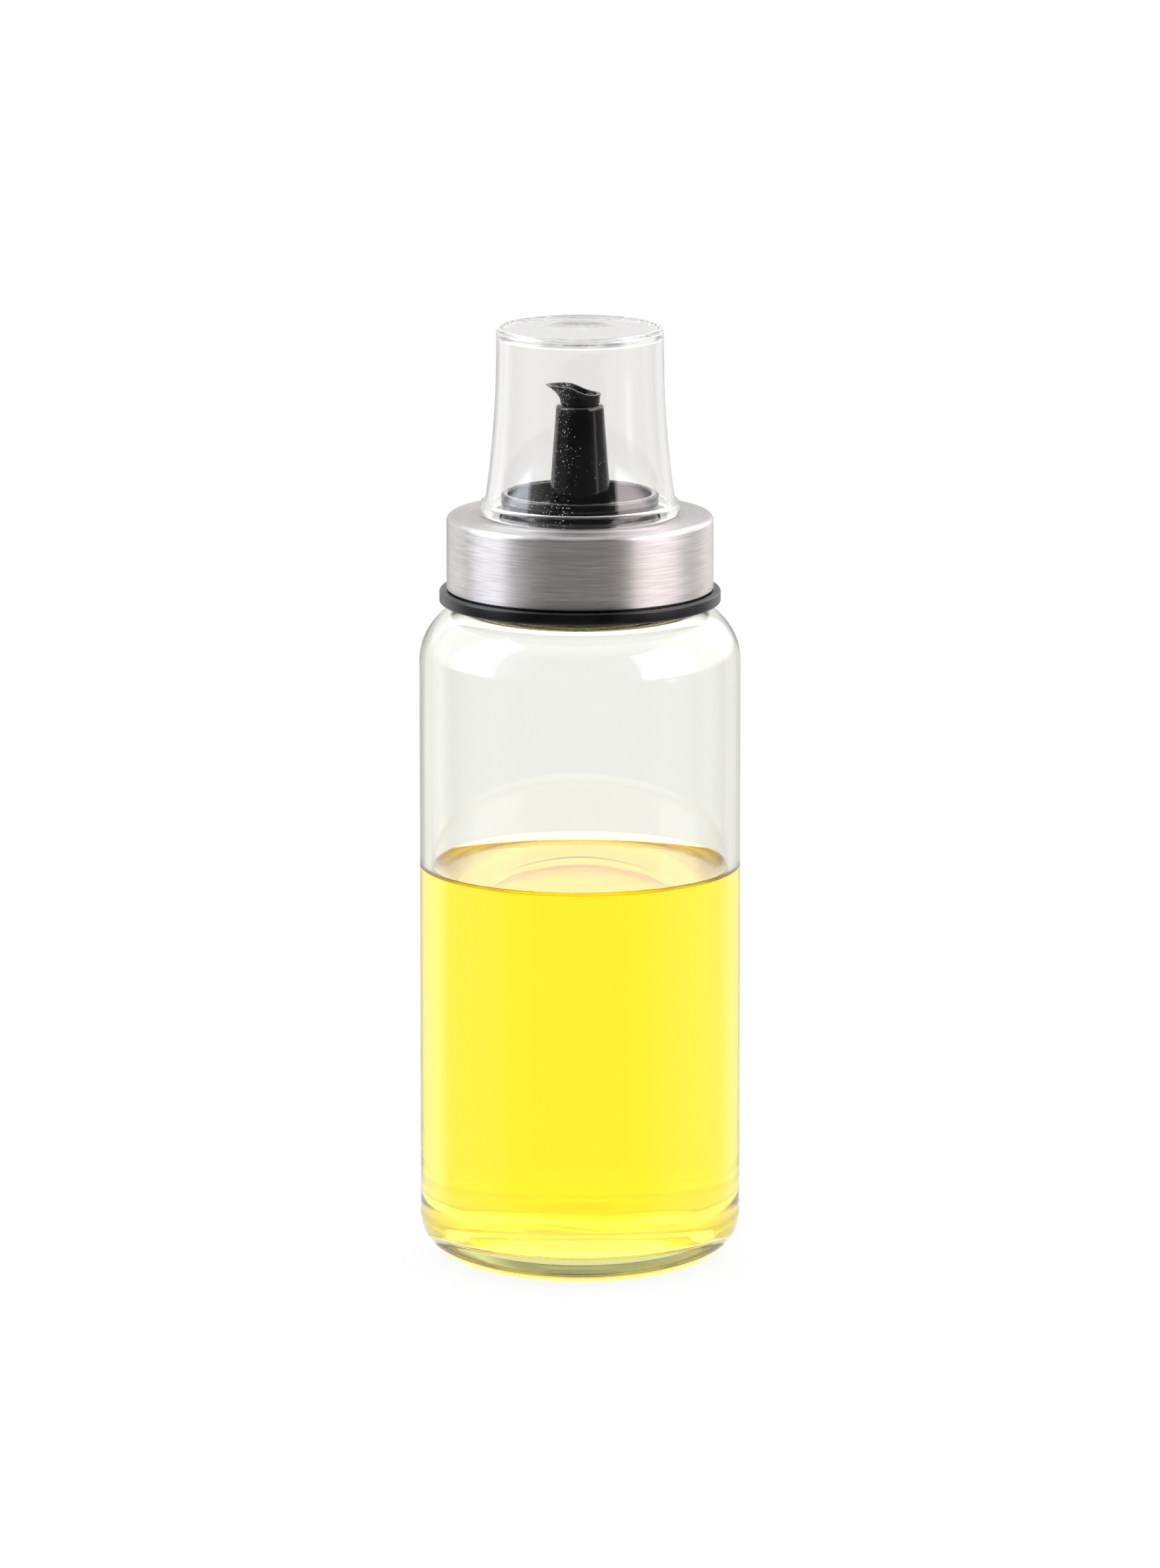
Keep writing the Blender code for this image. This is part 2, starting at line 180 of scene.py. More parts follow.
# Dust: specks begin and are full where a fine noise reaches DUST_EDGE. It gets higher by up to
# DUST_SIDE_GAIN from the first to the second place of DUST_SIDE, along X, lower by DUST_SPARE
# before them, and wanders by DUST_UNEVEN in patches.
DUST_COLOR = (0.6, 0.6, 0.6)
DUST_SIDE = (1.0 * MM, -3.0 * MM)
DUST_SIDE_GAIN = 0.06
DUST_UNEVEN = 0.1
DUST_SPARE = 0.05
DUST_EDGE = (0.80, 0.83)
DUST_ROUGHNESS = 0.8

# Light paths: the glass and the oil pass a ray on many times.
BOUNCES = 128

# Studio light. The view, the floor and what shows through the glass see plain white, and
# reflections see the room. Azimuths are in degrees from the front, + to +X, and heights are the
# sine of the elevation.

# Plain white for the camera, for light on the floor, for a ray through glass, and for a ray that
# has crossed glass more than DEEP_CROSSINGS times, which has been through the oil. The sky adds
# SKY_GAIN for a ray that left the glass upwards.
VIEW_WHITE = 1.02
DIFFUSE_WHITE = 1.35
THROUGH_WHITE = 1.08
OIL_WHITE = 1.42
DEEP_CROSSINGS = 4
SKY_GAIN = 1.0

# Floor: its level in reflections, how far from the bottle it fades from them, and how much of
# its level in the view is plain white.
FLOOR_SIZE = 6.0
TABLE_LEVEL = 0.95
TABLE_NEAR = 60.0 * MM
TABLE_FAR = 95.0 * MM
FLOOR_GLOW = 0.9

# Room: (azimuth, level) above the horizon and below it, over a soft horizon. Steeply down it has
# the level of the floor. STOP_SCALE is the highest level that the stops can hold.
ROOM_STOPS = (
    (-180, 0.78), (-158, 1.05), (-126, 1.3), (-110, 1.3), (-100, 0.5), (-64, 0.85), (-50, 0.4),
    (-30, 0.06), (30, 0.06), (60, 0.3), (99, 1.7), (116, 1.5), (130, 2.0), (150, 2.0),
    (162, 0.9), (180, 0.78))
LOW_STOPS = (
    (-180, 0.95), (-172, 0.9), (-167, 0.5), (-160, 0.5), (-153, 0.95), (-122, 1.0), (-112, 0.22),
    (-65, 0.2), (-50, 0.03), (50, 0.03), (65, 0.2), (100, 0.3), (122, 0.4), (138, 0.95),
    (158, 0.9), (165, 0.6), (172, 0.8), (180, 0.95))
STOP_SCALE = 2.0
HORIZON_SOFT = 0.04
STEEP_HEIGHTS = (-0.3, -0.55)

# The back of the room is brighter in what the oil's surface mirrors. It fades in over these
# places along Y and these heights.
SURFACE_GAIN = 1.0
BACK_PLACES = (0.955, 0.975)
BACK_HEIGHTS = (0.0, 0.05)

# Softboxes: one overhead that fades in over its heights, and a low panel, a left and a right box
# as azimuths and heights (each from, to and half the soft edge), level and tint.
TOP_BOX_HEIGHTS = (0.7, 0.95)
TOP_BOX_LEVEL = 1.1
TOP_BOX_TINT = (0.98, 1.0, 1.03)
SOFTBOXES = (
    ((66, 76, 3), (-0.12, -0.02, 0.02), 1.2, (1.05, 0.96, 1.0)),
    ((-108, -67.5, 2), (0.015, 0.86, 0.015), 4.2, (0.94, 0.98, 1.08)),
    ((47.5, 97, 3), (0.028, 0.72, 0.02), 4.0, (1.05, 0.97, 0.98)))


def outline_arc(center, radius_r, radius_z, start_deg, end_deg, steps):
    """Points (r, z) along an elliptical arc, both ends included."""
    points = []
    for step in range(steps + 1):
        angle = math.radians(start_deg + (end_deg - start_deg) * step / steps)
        r = center[0] + radius_r * math.cos(angle)
        points.append((r, center[1] + radius_z * math.sin(angle)))
    return points


def outline_rows(start, end, row):
    """Points between two outline points, about one row apart, both ends included."""
    steps = max(1, round(math.dist(start, end) / row))
    return [
        (start[0] + (end[0] - start[0]) * i / steps, start[1] + (end[1] - start[1]) * i / steps)
        for i in range(steps + 1)]


def smooth_step(value, low, high):
    """0 at low, 1 at high and smooth between them. High may be the lower of the two."""
    share = min(1.0, max(0.0, (value - low) / (high - low)))
    return share * share * (3.0 - 2.0 * share)


def mesh_object(name, bm, material):
    """Turn a finished bmesh into a smooth-shaded object with sharp corners kept."""
    bmesh.ops.remove_doubles(bm, verts=bm.verts, dist=ONE_POINT)
    bmesh.ops.recalc_face_normals(bm, faces=bm.faces)
    mesh = bpy.data.meshes.new(name)
    bm.to_mesh(mesh)
    bm.free()
    mesh.shade_smooth()
    mesh.set_sharp_from_angle(angle=math.radians(SHARP_DEG))
    mesh.materials.append(material)
    obj = bpy.data.objects.new(name, mesh)
    bpy.context.scene.collection.objects.link(obj)
    return obj


def turned(name, outline, material, segments=SEGMENTS, center_x=0.0, radius_at=None):
    """Turn an (r, z) outline about a vertical axis.

    An outline that starts and ends on the axis closes there, and any other closes on itself as
    a ring's section. radius_at(r, z, angle) may move a point in or out.
    """
    bm = bmesh.new()
    rings = []
    for r, z in outline:
        if r < ON_AXIS:
            rings.append([bm.verts.new((center_x, 0.0, z))] * segments)
            continue
        ring = []
        for i in range(segments):
            angle = math.tau * i / segments
            radius = radius_at(r, z, angle) if radius_at else r
            x = center_x + radius * math.cos(angle)
            ring.append(bm.verts.new((x, radius * math.sin(angle), z)))
        rings.append(ring)
    pairs = list(zip(rings, rings[1:]))
    if outline[0][0] > ON_AXIS:
        pairs.append((rings[-1], rings[0]))
    for low, high in pairs:
        for i in range(segments):
            j = (i + 1) % segments
            corners = []
            for vert in (low[i], low[j], high[j], high[i]):
                if vert not in corners:
                    corners.append(vert)
            if len(corners) > 2:
                bm.faces.new(corners)
    return mesh_object(name, bm, material)


def loft(name, rings, material):
    """Join rings of equal point count with quads, and close both ends."""
    bm = bmesh.new()
    rows = [[bm.verts.new(point) for point in ring] for ring in rings]
    count = len(rows[0])
    for low, high in zip(rows, rows[1:]):
        for i in range(count):
            j = (i + 1) % count
            bm.faces.new((low[i], low[j], high[j], high[i]))
    bm.faces.new(rows[0])
    bm.faces.new(rows[-1])
    return mesh_object(name, bm, material)


def cut_away(obj, tool):
    """Take the tool's volume out of obj, and delete the tool."""
    modifier = obj.modifiers.new("cut", "BOOLEAN")
    modifier.operation = "DIFFERENCE"
    modifier.solver = "EXACT"
    modifier.object = tool
    graph = bpy.context.evaluated_depsgraph_get()
    mesh = bpy.data.meshes.new_from_object(obj.evaluated_get(graph))
    obj.modifiers.clear()
    obj.data = mesh
    bpy.data.objects.remove(tool, do_unlink=True)


def place(obj, node, body):
    """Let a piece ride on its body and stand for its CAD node."""
    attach(obj, body)
    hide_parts(node)


def add_node(tree, kind, inputs=None, **settings):
    """A shader node with its settings, and with a value or a link on each named input."""
    node = tree.nodes.new(kind)
    for key, value in settings.items():
        setattr(node, key, value)
    for key, value in (inputs or {}).items():
        if isinstance(value, bpy.types.NodeSocket):
            tree.links.new(value, node.inputs[key])
        else:
            node.inputs[key].default_value = value
    return node


def compute(tree, operation, first, second=0.0, third=0.0):
    """The output of a Math node."""
    node = add_node(tree, "ShaderNodeMath", {0: first, 1: second, 2: third}, operation=operation)
    return node.outputs[0]


def ramp(tree, value, low, high, to_low=0.0, to_high=1.0):
    """A smooth step of a value from to_low at low to to_high at high."""
    inputs = {"Value": value, "From Min": low, "From Max": high, "To Min": to_low, "To Max": to_high}
    node = add_node(tree, "ShaderNodeMapRange", inputs, interpolation_type="SMOOTHSTEP")
    return node.outputs["Result"]


def window(tree, value, low, high, soft):
    """1 where a value lies between low and high, and 0 outside, over a soft edge."""
    rise = ramp(tree, value, low - soft, low + soft)
    fall = ramp(tree, value, high - soft, high + soft, 1.0, 0.0)
    return compute(tree, "MULTIPLY", rise, fall)


def between(tree, share, first, second):
    """The value that lies a share of the way from a first to a second."""
    return compute(tree, "MULTIPLY_ADD", share, compute(tree, "SUBTRACT", second, first), first)


def gray(tree, level):
    """A colour with one level in all its channels."""
    inputs = {"Red": level, "Green": level, "Blue": level}
    return add_node(tree, "ShaderNodeCombineColor", inputs).outputs["Color"]


def mix_colors(tree, share, first, second):
    """The colour a share of the way from a first to a second, each a colour or an output.

    The Mix node keeps its colours in sockets 6 and 7, and gives the mixed colour in output 2.
    """
    node = add_node(tree, "ShaderNodeMix", {0: share, 6: first, 7: second}, data_type="RGBA")
    return node.outputs[2]


def opaque(color, level=1.0):
    """A colour at a level, with the alpha that sockets ask for."""
    return (*(level * channel for channel in color), 1.0)


def level_round(tree, azimuth, stops):
    """A light level that changes with azimuth, through (degrees, level) stops."""
    turn = compute(tree, "MULTIPLY_ADD", azimuth, 1 / 360, 0.5)
    node = add_node(tree, "ShaderNodeValToRGB", {"Fac": turn})
    elements = node.color_ramp.elements
    while len(elements) < len(stops):
        elements.new(0.5)
    for element, (degrees, level) in zip(elements, stops):
        element.position = degrees / 360 + 0.5
        element.color = (*[level / STOP_SCALE] * 3, 1.0)
    return compute(tree, "MULTIPLY", node.outputs["Color"], STOP_SCALE)


def light_path(tree):
    """The Light Path outputs, whether a ray crossed glass, its share of the room, and the level
    of plain white for it.

    A ray that crossed glass often enough has been through the oil, where each crossing of the
    overlapping walls costs some light that real oil against glass keeps. The room's share is 1
    for a reflected ray that hasn't.
    """
    rays = add_node(tree, "ShaderNodeLightPath").outputs
    passed = compute(tree, "GREATER_THAN", rays["Transmission Depth"], 0.0)
    deep = compute(tree, "GREATER_THAN", rays["Transmission Depth"], DEEP_CROSSINGS)
    level = between(tree, rays["Is Diffuse Ray"], VIEW_WHITE, DIFFUSE_WHITE)
    level = between(tree, passed, level, THROUGH_WHITE)
    level = between(tree, deep, level, OIL_WHITE)
    reflected = compute(tree, "GREATER_THAN", rays["Glossy Depth"], 0.0)
    reflected = compute(tree, "MULTIPLY", reflected, compute(tree, "SUBTRACT", 1.0, deep))
    return rays, passed, reflected, level


def noise_value(tree, vector, scale, detail=2.0, roughness=0.5):
    """The value of a noise texture, with its scale in features per metre."""
    inputs = {"Vector": vector, "Scale": scale, "Detail": detail, "Roughness": roughness}
    return add_node(tree, "ShaderNodeTexNoise", inputs).outputs["Fac"]


def new_material(name, base, roughness, **sockets):
    """A material with a Principled shader, its tree and the object's own coordinates."""
    material = bpy.data.materials.new(name)
    material.use_nodes = True
    tree = material.node_tree
    shader = tree.nodes["Principled BSDF"]
    shader.inputs["Base Color"].default_value = opaque(base)
    shader.inputs["Roughness"].default_value = roughness
    for key, value in sockets.items():
        shader.inputs[key.replace("_", " ")].default_value = value
    coords = add_node(tree, "ShaderNodeTexCoord").outputs["Object"]
    material.diffuse_color = opaque(base)
    return material, tree, shader, coords


def add_bump(tree, shader, height, distance, strength=1.0):
    """Bump from a height output, with its full height in metres."""
    inputs = {"Height": height, "Distance": distance, "Strength": strength}
    bump = add_node(tree, "ShaderNodeBump", inputs)
    tree.links.new(bump.outputs["Normal"], shader.inputs["Normal"])


def add_depth(tree, color, density):
    """Colour that deepens with the way light goes through a piece."""
    inputs = {"Color": opaque(color), "Density": density}
    depth = add_node(tree, "ShaderNodeVolumeAbsorption", inputs)
    tree.links.new(depth.outputs["Volume"], tree.nodes["Material Output"].inputs["Volume"])


def glass_material():
    """Clear soda glass, greenish where it is thick, with the faint waves of a moulded bottle."""
    material, tree, shader, coords = new_material(
        "clear_glass", (0.977, 0.982, 0.986), 0.0, IOR=1.5, Transmission_Weight=1.0)
    waves = noise_value(tree, coords, scale=90.0, detail=1.0)
    add_bump(tree, shader, waves, distance=0.05 * MM, strength=0.3)
    add_depth(tree, (0.65, 0.65, 0.3), density=45.0)
    return material


def oil_material():
    """Clear yellow oil, whose colour comes from its depth."""
    material, tree, shader, coords = new_material(
        "yellow_oil", (1.0, 1.0, 1.0), 0.0, IOR=1.47, Transmission_Weight=1.0)
    waves = noise_value(tree, coords, scale=60.0, detail=1.0)
    add_bump(tree, shader, waves, distance=0.03 * MM, strength=0.2)
    add_depth(tree, (1.0, 0.938, 0.09), density=63.0)
    return material


def clear_plastic_material():
    """Clear moulded styrene with faint flow marks that run up the wall."""
    material, tree, shader, coords = new_material(
        "clear_plastic", (0.938, 0.935, 0.92), 0.0, IOR=1.58, Transmission_Weight=1.0)
    upright = {0: coords, 1: (1.0, 1.0, 0.1)}
    stretched = add_node(tree, "ShaderNodeVectorMath", upright, operation="MULTIPLY")
    streaks = noise_value(tree, stretched.outputs["Vector"], scale=420.0)
    add_bump(tree, shader, streaks, distance=0.03 * MM, strength=0.5)
    return material


def steel_material():
    """Stainless steel brushed around its axis."""
    material, tree, shader, coords = new_material(
        "brushed_steel", (0.61, 0.575, 0.56), 0.4,
        Metallic=1.0, Anisotropic=0.82, Anisotropic_Rotation=0.25)
    axes = add_node(tree, "ShaderNodeSeparateXYZ", {"Vector": coords}).outputs
    flat = add_node(tree, "ShaderNodeCombineXYZ", {"X": axes["X"], "Y": axes["Y"]}).outputs["Vector"]
    radius = add_node(tree, "ShaderNodeVectorMath", {0: flat}, operation="LENGTH").outputs["Value"]
    around = add_node(tree, "ShaderNodeVectorMath", {0: flat}, operation="NORMALIZE").outputs["Vector"]
    around = add_node(tree, "ShaderNodeSeparateXYZ", {"Vector": around}).outputs
    across = compute(tree, "ADD", axes["Z"], radius)
    strokes = add_node(tree, "ShaderNodeCombineXYZ", {
        "X": compute(tree, "MULTIPLY", around["X"], STROKE_R),
        "Y": compute(tree, "MULTIPLY", around["Y"], STROKE_R),
        "Z": across}).outputs["Vector"]
    fine = noise_value(tree, strokes, scale=4200.0, detail=3.0, roughness=0.7)
    shade = mix_colors(tree, ramp(tree, fine, 0.3, 0.7), opaque(STEEL_DARK), opaque(STEEL_LIGHT))
    tree.links.new(shade, shader.inputs["Base Color"])
    tree.links.new(ramp(tree, fine, 0.3, 0.7, 0.36, 0.44), shader.inputs["Roughness"])
    add_bump(tree, shader, fine, distance=0.004 * MM, strength=0.5)
    tangent = add_node(tree, "ShaderNodeTangent", direction_type="RADIAL", axis="Z")
    tree.links.new(tangent.outputs["Tangent"], shader.inputs["Tangent"])
    return material


def dust_share(tree, coords, amount):
    """1 on specks of dust and 0 elsewhere. A larger amount lays more of them towards -X."""
    specks = noise_value(tree, coords, scale=3400.0, detail=0.0)
    patches = noise_value(tree, coords, scale=240.0, detail=1.0)
    patches = compute(tree, "MULTIPLY_ADD", patches, DUST_UNEVEN, -DUST_UNEVEN / 2)
    side = add_node(tree, "ShaderNodeSeparateXYZ", {"Vector": coords}).outputs["X"]
    side = ramp(tree, side, *DUST_SIDE, -DUST_SPARE, DUST_SIDE_GAIN * amount)
    thickness = compute(tree, "ADD", patches, side)
    return ramp(tree, compute(tree, "ADD", specks, thickness), *DUST_EDGE)


def black_material(name, base, roughness, dust=0.0, ior=1.5):
    """Black moulded plastic with a fine grain, and with white dust where dust is above 0."""
    material, tree, shader, coords = new_material(name, base, roughness, IOR=ior)
    grain = noise_value(tree, coords, scale=2600.0)
    uneven = noise_value(tree, coords, scale=160.0)
    gloss = ramp(tree, uneven, 0.3, 0.7, roughness * 0.85, roughness * 1.15)
    patches = ramp(tree, uneven, 0.35, 0.75)
    color = mix_colors(tree, patches, opaque(base), opaque(base, BLACK_MOTTLE))
    if dust > 0.0:
        dusty = dust_share(tree, coords, dust)
        color = mix_colors(tree, dusty, color, opaque(DUST_COLOR))
        gloss = compute(tree, "MAXIMUM", gloss, compute(tree, "MULTIPLY", dusty, DUST_ROUGHNESS))
    tree.links.new(color, shader.inputs["Base Color"])
    tree.links.new(gloss, shader.inputs["Roughness"])
    add_bump(tree, shader, grain, distance=0.01 * MM, strength=0.4)
    return material


def gasket_material():
    """White foam sheet with a fine grain."""
    material, tree, shader, coords = new_material("gasket_white", (0.86, 0.86, 0.84), 0.7)
    grain = noise_value(tree, coords, scale=3000.0, detail=3.0)
    shade = mix_colors(tree, grain, opaque((0.80, 0.80, 0.78)), opaque((0.90, 0.90, 0.88)))
    tree.links.new(shade, shader.inputs["Base Color"])
    tree.links.new(ramp(tree, grain, 0.2, 0.8, 0.6, 0.8), shader.inputs["Roughness"])
    add_bump(tree, shader, grain, distance=0.04 * MM, strength=0.6)
    return material


def thread_rise(z, angle, low_z):
    """Height, from 0 to 1, of the screw thread's ridge at a point on a threaded wall."""
    height = 0.0
    for whole_turns in range(math.ceil(THREAD_TURNS)):
        turn = angle / math.tau + whole_turns
        if turn >= THREAD_TURNS:
            continue
        fade = smooth_step(min(turn, THREAD_TURNS - turn), 0.0, THREAD_FADE_TURNS)
        away = abs(z - low_z - PITCH * turn)
        height = max(height, fade * smooth_step(away, THREAD_ROOT_HALF, THREAD_CREST_HALF))
    return height


def wall_wave(z, angle):
    """How far the glass's inner wall wanders from a true cylinder, in metres."""
    x = WAVES_AROUND * math.cos(angle)
    y = WAVES_AROUND * math.sin(angle)
    return WALL_WAVE * noise.noise(Vector((x, y, z / WAVE_HEIGHT)))


def inner_heel_center(body_r):
    """Centre of the arc between the inner wall and the floor of the glass."""
    return (body_r - WALL - INNER_HEEL_R, FLOOR_Z + INNER_HEEL_R)


def floor_outline(body_r, base_z):
    """Outline of the crowned floor inside the glass, from the axis outwards."""
    return [(body_r * share, base_z + FLOOR_CROWN * rise) for share, rise in FLOOR_CURVE]


def build_glass_bottle(material):
    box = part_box("glass_bottle")[1]
    body_r = box.x
    rim_z = box.z
    heel_center = (body_r - HEEL_WIDTH, HEEL_HEIGHT)
    ring_r = heel_center[0] - CONTACT_WIDTH
    shoulder_center = (body_r - SHOULDER_R, SHOULDER_TOP_Z - SHOULDER_R)
    fillet_r = NECK_R + NECK_FILLET_R
    end_deg = math.degrees(math.acos((fillet_r - shoulder_center[0]) / SHOULDER_R))
    fillet_z = shoulder_center[1] + SHOULDER_R * math.sin(math.radians(end_deg)) + NECK_FILLET_R
    rim_corner_z = rim_z - RIM_ROUND_R
    bore_shoulder = (NECK_BORE_R, shoulder_center[1])
    inner_r = body_r - WALL
    wall_foot_z = FLOOR_Z + INNER_HEEL_R
    lip_r = NECK_BORE_R + RIM_ROUND_R

    outline = [(ring_r * share, PUSH_UP * rise) for share, rise in PUSH_UP_CURVE]
    outline += [(ring_r - CONTACT_ROLL, PUSH_UP * CONTACT_ROLL_RISE), (ring_r, 0.0)]
    outline += outline_arc(heel_center, HEEL_WIDTH, HEEL_HEIGHT, -90, 0, 28)
    outline += outline_rows((body_r, heel_center[1]), (body_r, shoulder_center[1]), LONG_ROW)[1:]
    outline += outline_arc(shoulder_center, SHOULDER_R, SHOULDER_R, 0, end_deg, 28)[1:]
    outline += outline_arc((fillet_r, fillet_z), NECK_FILLET_R, NECK_FILLET_R, 270, 180, 8)[1:]
    outline += outline_rows((NECK_R, fillet_z), (NECK_R, rim_corner_z), THREAD_ROW)[1:]
    outline += outline_arc((NECK_R - RIM_ROUND_R, rim_corner_z), RIM_ROUND_R, RIM_ROUND_R, 0, 90, 6)[1:]
    outline += outline_arc((lip_r, rim_corner_z), RIM_ROUND_R, RIM_ROUND_R, 90, 180, 6)
    outline += outline_arc(bore_shoulder, inner_r - NECK_BORE_R, SHOULDER_R - WALL, 90, 0, 24)
    outline += outline_rows((inner_r, bore_shoulder[1]), (inner_r, wall_foot_z), LONG_ROW)[1:]
    outline += outline_arc(inner_heel_center(body_r), INNER_HEEL_R, INNER_HEEL_R, 0, -90, 24)[1:]
    outline += reversed(floor_outline(body_r, FLOOR_Z))

    def radius_at(r, z, angle):
        if z > fillet_z and abs(r - NECK_R) < ON_WALL:
            return r + THREAD_DEPTH * thread_rise(z, angle, THREAD_LOW_Z)
        if abs(r - inner_r) < ON_WALL:
            return r + wall_wave(z, angle)
        return r

    bottle = turned("bottle_glass", outline, material, radius_at=radius_at)
    place(bottle, "glass_bottle", "bottle")


def build_oil(material):
    body_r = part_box("glass_bottle")[1].x
    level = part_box("oil_fill")[1].z
    inner_r = body_r - WALL
    corner = inner_heel_center(body_r)
    corner_r = INNER_HEEL_R + OIL_OVERLAP
    wall_r = inner_r + OIL_OVERLAP
    contact_z = level + MENISCUS_RISE

    outline = floor_outline(body_r, FLOOR_Z - OIL_OVERLAP)
    outline += outline_arc(corner, corner_r, corner_r, -90, 0, 24)
    outline += outline_rows((wall_r, corner[1]), (wall_r, contact_z), LONG_ROW)[1:]
    for row in range(MENISCUS_ROWS + 1):
        depth = MENISCUS_SPAN * (row / MENISCUS_ROWS) ** MENISCUS_CROWDING
        rise = MENISCUS_RISE * math.exp(-depth / MENISCUS_LENGTH)
        outline.append((inner_r - depth, level + rise))
    outline += [(inner_r * share, level) for share in SURFACE_SHARES]

    def radius_at(r, z, angle):
        if r > inner_r - ON_WALL and z > corner[1]:
            return r + wall_wave(z, angle)
        return r

    oil = turned("oil", outline, material, radius_at=radius_at)
    place(oil, "oil_fill", "bottle")


def build_gasket(material):
    low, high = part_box("sealing_gasket")
    edge = GASKET_EDGE
    outline = [(GASKET_BORE_R + edge, low.z), (high.x - edge, low.z)]
    outline += [(high.x, low.z + edge), (high.x, high.z - edge)]
    outline += [(high.x - edge, high.z), (GASKET_BORE_R + edge, high.z)]
    outline += [(GASKET_BORE_R, high.z - edge), (GASKET_BORE_R, low.z + edge)]
    gasket = turned("gasket", outline, material)
    place(gasket, "sealing_gasket", "gasket")


def build_closure(material):
    low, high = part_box("screw_closure")
    edge = FLANGE_EDGE_R
    corner_r = high.x - edge
    top_corner = (SKIRT_R - COLLAR_EDGE_R, high.z - COLLAR_EDGE_R)
    disc_low = high.z - DISC_THICKNESS
    thread_top = (SKIRT_BORE_R, disc_low - THREADLESS_TOP)
    outline = outline_arc((corner_r, low.z + edge), edge, edge, -90, 0, 6)
    outline += outline_arc((corner_r, FLANGE_TOP_Z - edge), edge, edge, 0, 90, 6)
    outline += [(SKIRT_R, FLANGE_TOP_Z)]
    outline += outline_arc(top_corner, COLLAR_EDGE_R, COLLAR_EDGE_R, 0, 90, 8)
    outline += [(HEAD_HOLE_R, high.z), (HEAD_HOLE_R, disc_low), (SKIRT_BORE_R, disc_low)]
    outline += outline_rows(thread_top, (SKIRT_BORE_R, low.z + edge), THREAD_ROW)
    outline += [(SKIRT_BORE_R + edge, low.z)]

    def radius_at(r, z, angle):
        if abs(r - SKIRT_BORE_R) > ON_WALL or z > disc_low - THREADLESS_TOP / 2:
            return r
        return r - THREAD_DEPTH * thread_rise(z, angle, THREAD_LOW_Z - MATING_THREAD_DROP)

    closure = turned("closure", outline, material, radius_at=radius_at)
    place(closure, "screw_closure", "head")


def build_collar(material):
    low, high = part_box("steel_collar")
    corner = (high.x - COLLAR_EDGE_R, high.z - COLLAR_EDGE_R)
    inner_edge_r = COLLAR_EDGE_R - COLLAR_WALL
    lip = COLLAR_LIP
    outline = outline_rows((high.x, low.z + lip), (high.x, corner[1]), SHORT_ROW)
    outline += outline_arc(corner, COLLAR_EDGE_R, COLLAR_EDGE_R, 0, 90, 12)[1:]
    outline += outline_rows((corner[0], high.z), (HEAD_HOLE_R + lip, high.z), SHORT_ROW)[1:]
    outline += [(HEAD_HOLE_R, high.z - lip), (HEAD_HOLE_R, high.z - COLLAR_WALL)]
    outline += outline_arc(corner, inner_edge_r, inner_edge_r, 90, 0, 8)
    outline += [(high.x - COLLAR_WALL, low.z), (high.x - lip, low.z)]
    collar = turned("collar", outline, material)
    place(collar, "steel_collar", "head")


def build_insert(material):
    low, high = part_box("pourer_insert")
    flange_high = low.z + INSERT_FLANGE_THICKNESS
    hollow_r = CUP_R - CUP_WALL
    floor_low = CUP_FLOOR_Z - CUP_FLOOR_THICKNESS
    edge = CUP_EDGE_R
    taper = (CONE_BASE_R - CONE_TIP_R) / (high.z - CUP_FLOOR_Z)
    foot = (CONE_BASE_R + CONE_FILLET_R, CUP_FLOOR_Z + CONE_FILLET_R)
    foot_r = CONE_FILLET_R * (1 + taper)
    tip = (CONE_TIP_R - CONE_EDGE_R, high.z - CONE_EDGE_R)
    outline = [(hollow_r, low.z), (high.x, low.z), (high.x, flange_high), (CUP_R, flange_high)]
    outline += outline_arc((CUP_R - edge, CUP_TOP_Z - edge), edge, edge, 0, 90, 6)
    outline += outline_arc((hollow_r + edge, CUP_TOP_Z - edge), edge, edge, 90, 180, 6)
    outline += outline_arc((hollow_r - edge, CUP_FLOOR_Z + edge), edge, edge, 0, -90, 5)
    outline += outline_arc(foot, foot_r, CONE_FILLET_R, 270, 180, 8)
    outline += outline_rows(outline[-1], (CONE_TIP_R, tip[1]), SHORT_ROW)[1:]
    outline += outline_arc(tip, CONE_EDGE_R, CONE_EDGE_R, 0, 90, 8)[1:]
    outline += [(CONE_BORE_TIP_R, high.z), (CONE_BORE_TIP_R, high.z - CONE_BORE_STRAIGHT)]
    outline += [(CONE_BORE_BASE_R, floor_low), (hollow_r, floor_low)]
    insert = turned("pourer", outline, material)
    place(insert, "pourer_insert", "head")


def beak_rim_z(x, high_z):
    """Height of the beak's rim, high over the lip and low behind it."""
    return high_z - BEAK_FALL * (0.5 + 0.5 * math.tanh((x - BEAK_DIP_X) / BEAK_DIP_WIDTH))


def beak_ring(rise, wall, low_z, low_r, reach, high_z):
    """One ring of the beak's outer (wall 0) or inner surface, from its neck to its rim."""
    ring = []
    for i in range(BEAK_FACETS):
        angle = math.tau * i / BEAK_FACETS
        lip = max(0.0, -math.cos(angle)) ** BEAK_LIP_SHARPNESS
        rim_r = BEAK_MOUTH_R + (reach - BEAK_MOUTH_R) * lip - wall
        rim_z = beak_rim_z(rim_r * math.cos(angle), high_z)
        r = low_r + (rim_r - low_r) * rise ** 2
        ring.append((r * math.cos(angle), r * math.sin(angle), low_z + (rim_z - low_z) * rise))
    return ring


def level_ring(radius, z):
    """A level circle with as many points as the beak's rings."""
    angles = [math.tau * i / BEAK_FACETS for i in range(BEAK_FACETS)]
    return [(radius * math.cos(a), radius * math.sin(a), z) for a in angles]


